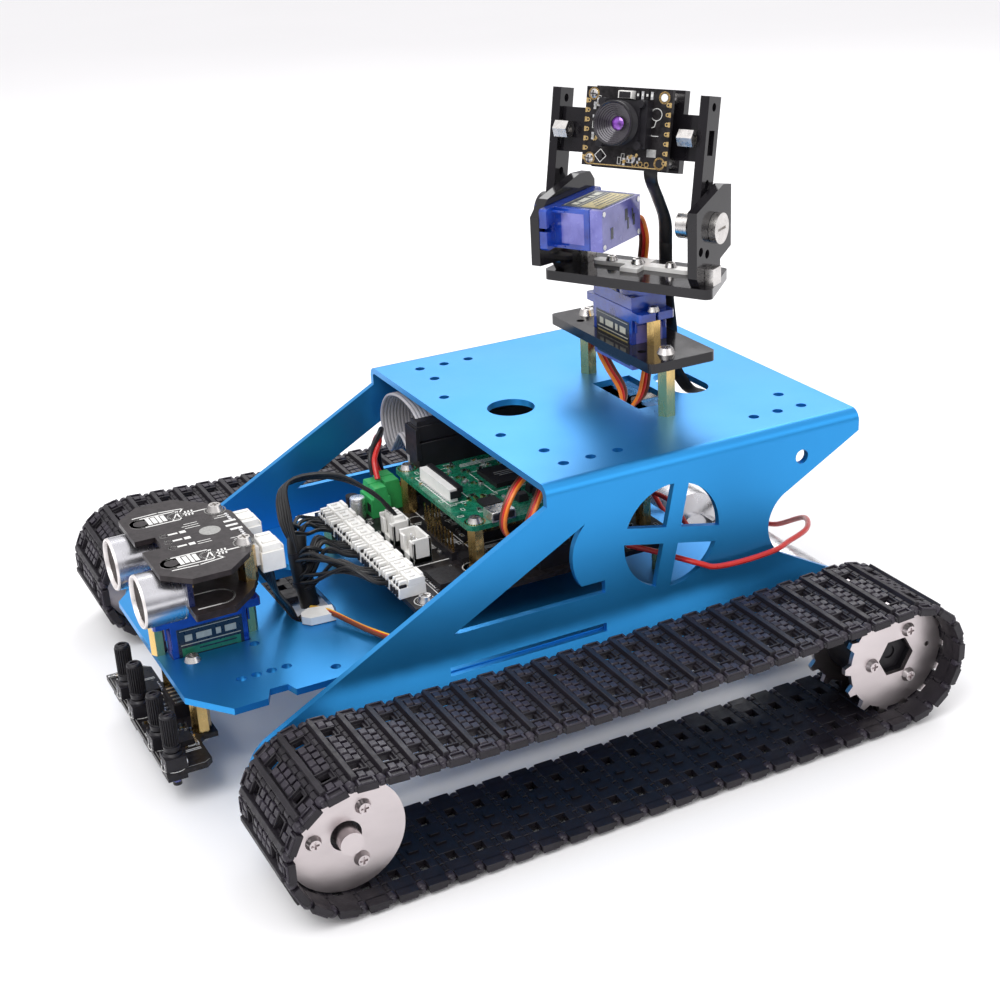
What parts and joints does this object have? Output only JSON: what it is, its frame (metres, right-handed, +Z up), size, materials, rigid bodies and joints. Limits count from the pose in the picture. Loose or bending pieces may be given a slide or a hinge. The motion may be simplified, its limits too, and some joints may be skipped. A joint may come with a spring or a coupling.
{
  "type": "tracked robot chassis",
  "caption": "Tracked robot chassis: bent metal body over stacked circuit boards, link tracks on sprockets and idlers, a swivelling sonar head on the nose and a pan and tilt camera.",
  "frame": {"origin": "on the ground, at the middle of the bounding box in X and Y", "axes": "+X towards the nose and its sonar head, +Y to the robot's left, +Z up"},
  "size_m": [0.2225, 0.211, 0.1788],
  "materials": {
    "blue_aluminium": "satin anodised",
    "steel": "satin",
    "motor_case": "satin",
    "brass": "satin",
    "black_moulding": "matte",
    "black_acrylic": "polished",
    "track_plastic": "satin",
    "black_board": "satin solder mask",
    "green_board": "satin solder mask",
    "blue_board": "satin solder mask",
    "chip_black": "matte",
    "port_metal": "satin",
    "white_nylon": "satin",
    "green_plastic": "satin",
    "grey_ribbon": "satin",
    "black_wire": "satin",
    "red_wire": "satin",
    "orange_wire": "satin",
    "servo_blue": "translucent gloss",
    "battery_wrap": "shrink wrap",
    "sonar_silver": "satin",
    "lens_dark": "coated lens"
  },
  "bodies": {
    "chassis": {"base_plate": "blue_aluminium", "upper_shell": "blue_aluminium", "chassis_screws": "steel", "brass_standoffs": "brass", "gearmotor_left": "motor_case", "gearmotor_right": "motor_case", "idler_axles": "steel", "battery": "battery_wrap", "track_left": "track_plastic", "track_right": "track_plastic", "control_board": "black_board", "computer_board": "green_board", "computer_ports": "port_metal", "board_chips": "chip_black", "white_plugs": "white_nylon", "screw_terminals": "green_plastic", "header_socket": "black_moulding", "ribbon_cable": "grey_ribbon", "power_leads": "red_wire", "board_harness": "black_wire", "board_servo_leads": "orange_wire", "sensor_board": "black_board", "sensor_parts": "black_moulding", "sonar_servo": "servo_blue", "mast_plate": "black_acrylic", "pan_servo": "servo_blue", "sonar_harness": "black_wire", "camera_cable": "black_wire", "head_servo_leads": "orange_wire"},
    "drive_sprocket_left": {"sprocket_discs_left": "steel", "sprocket_drum_left": "black_moulding", "drive_coupler_left": "brass"},
    "idler_wheel_left": {"idler_discs_left": "steel", "idler_hub_left": "black_moulding"},
    "drive_sprocket_right": {"sprocket_discs_right": "steel", "sprocket_drum_right": "black_moulding", "drive_coupler_right": "brass"},
    "idler_wheel_right": {"idler_discs_right": "steel", "idler_hub_right": "black_moulding"},
    "sonar_head": {"sonar_horn": "white_nylon", "sonar_plates": "black_acrylic", "sonar_board": "blue_board", "sonar_transducers": "sonar_silver", "sonar_plugs": "white_nylon", "sonar_fasteners": "brass"},
    "camera_fork": {"pan_horn": "white_nylon", "fork_base": "black_acrylic", "fork_plates": "black_acrylic", "fork_fasteners": "steel", "tilt_servo": "servo_blue"},
    "camera_head": {"tilt_horn": "black_moulding", "camera_frame": "black_acrylic", "camera_fasteners": "brass", "camera_board": "black_board", "lens_holder": "black_moulding", "camera_lens": "lens_dark"},
    "trimmer_1": {"trimmer_knob_1": "black_moulding"},
    "trimmer_2": {"trimmer_knob_2": "black_moulding"},
    "trimmer_3": {"trimmer_knob_3": "black_moulding"},
    "trimmer_4": {"trimmer_knob_4": "black_moulding"}
  },
  "joints": [
    {"name": "drive_left", "type": "hinge", "parent": "chassis", "child": "drive_sprocket_left", "pos_m": [-0.0911, 0.0872, 0.02024], "axis": [0, 1, 0], "continuous": true, "deforming": ["track_left"]},
    {"name": "idler_left", "type": "hinge", "parent": "chassis", "child": "idler_wheel_left", "pos_m": [0.0831, 0.0872, 0.02024], "axis": [0, 1, 0], "continuous": true},
    {"name": "drive_right", "type": "hinge", "parent": "chassis", "child": "drive_sprocket_right", "pos_m": [-0.0911, -0.0872, 0.02024], "axis": [0, 1, 0], "continuous": true, "deforming": ["track_right"]},
    {"name": "idler_right", "type": "hinge", "parent": "chassis", "child": "idler_wheel_right", "pos_m": [0.0831, -0.0872, 0.02024], "axis": [0, 1, 0], "continuous": true},
    {"name": "sonar_pan", "type": "hinge", "parent": "chassis", "child": "sonar_head", "pos_m": [0.0831, 0.005, 0.03874], "axis": [0, 0, 1], "range_deg": [-75, 75], "deforming": ["sonar_harness"]},
    {"name": "camera_pan", "type": "hinge", "parent": "chassis", "child": "camera_fork", "pos_m": [-0.055, 0.0143, 0.11124], "axis": [0, 0, 1], "range_deg": [-115, 55], "deforming": ["camera_cable", "head_servo_leads"]},
    {"name": "camera_tilt", "type": "hinge", "parent": "camera_fork", "child": "camera_head", "pos_m": [-0.0524, 0.0158, 0.14074], "axis": [-0.5, 0.866, 0], "range_deg": [-35, 45], "deforming": ["camera_cable", "head_servo_leads"]},
    {"name": "trimmer_turn_1", "type": "hinge", "parent": "chassis", "child": "trimmer_1", "pos_m": [0.1084, -0.0177, 0.02224], "axis": [0, 0, 1], "range_deg": [-135, 135]},
    {"name": "trimmer_turn_2", "type": "hinge", "parent": "chassis", "child": "trimmer_2", "pos_m": [0.1084, -0.0045, 0.02224], "axis": [0, 0, 1], "range_deg": [-135, 135]},
    {"name": "trimmer_turn_3", "type": "hinge", "parent": "chassis", "child": "trimmer_3", "pos_m": [0.1084, 0.0161, 0.02224], "axis": [0, 0, 1], "range_deg": [-135, 135]},
    {"name": "trimmer_turn_4", "type": "hinge", "parent": "chassis", "child": "trimmer_4", "pos_m": [0.1084, 0.0294, 0.02224], "axis": [0, 0, 1], "range_deg": [-135, 135]}
  ],
  "couplings": [
    {"joint": "idler_left", "follows": "drive_left", "ratio": 1},
    {"joint": "idler_right", "follows": "drive_right", "ratio": 1}
  ]
}
